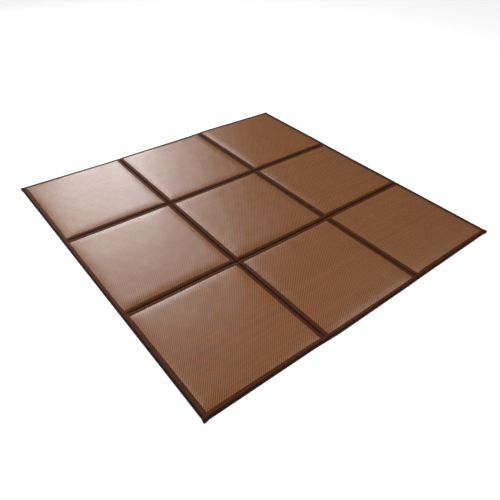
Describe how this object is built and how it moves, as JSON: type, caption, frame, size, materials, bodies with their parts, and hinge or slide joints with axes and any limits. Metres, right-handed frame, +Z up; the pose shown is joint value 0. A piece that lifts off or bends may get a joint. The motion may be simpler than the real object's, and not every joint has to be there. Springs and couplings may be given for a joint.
{
  "type": "tatami mat",
  "caption": "Large square floor mat of woven pads joined by folds, with dark binding tape over the folds and round the edges.",
  "frame": {"origin": "on the floor, under the middle of the mat", "axes": "+Z up through the thickness; +X and +Y along the sides of the square, with the long fold tapes along X"},
  "size_m": [1.8179, 1.8235, 0.027],
  "materials": {
    "weave": "smooth woven strand, satin",
    "binding": "woven cotton tape, matt"
  },
  "bodies": {
    "root": {"pad_front_left": "weave", "pad_front_middle": "weave", "pad_front_right": "weave", "pad_middle_left": "weave", "pad_middle_middle": "weave", "pad_middle_right": "weave", "pad_back_left": "weave", "pad_back_middle": "weave", "pad_back_right": "weave", "fold_tape_front": "binding", "fold_tape_back": "binding", "cross_tape_front_left": "binding", "cross_tape_front_right": "binding", "cross_tape_middle_left": "binding", "cross_tape_middle_right": "binding", "cross_tape_back_left": "binding", "cross_tape_back_right": "binding", "border_front": "binding", "border_back": "binding", "border_left": "binding", "border_right": "binding"}
  },
  "joints": []
}
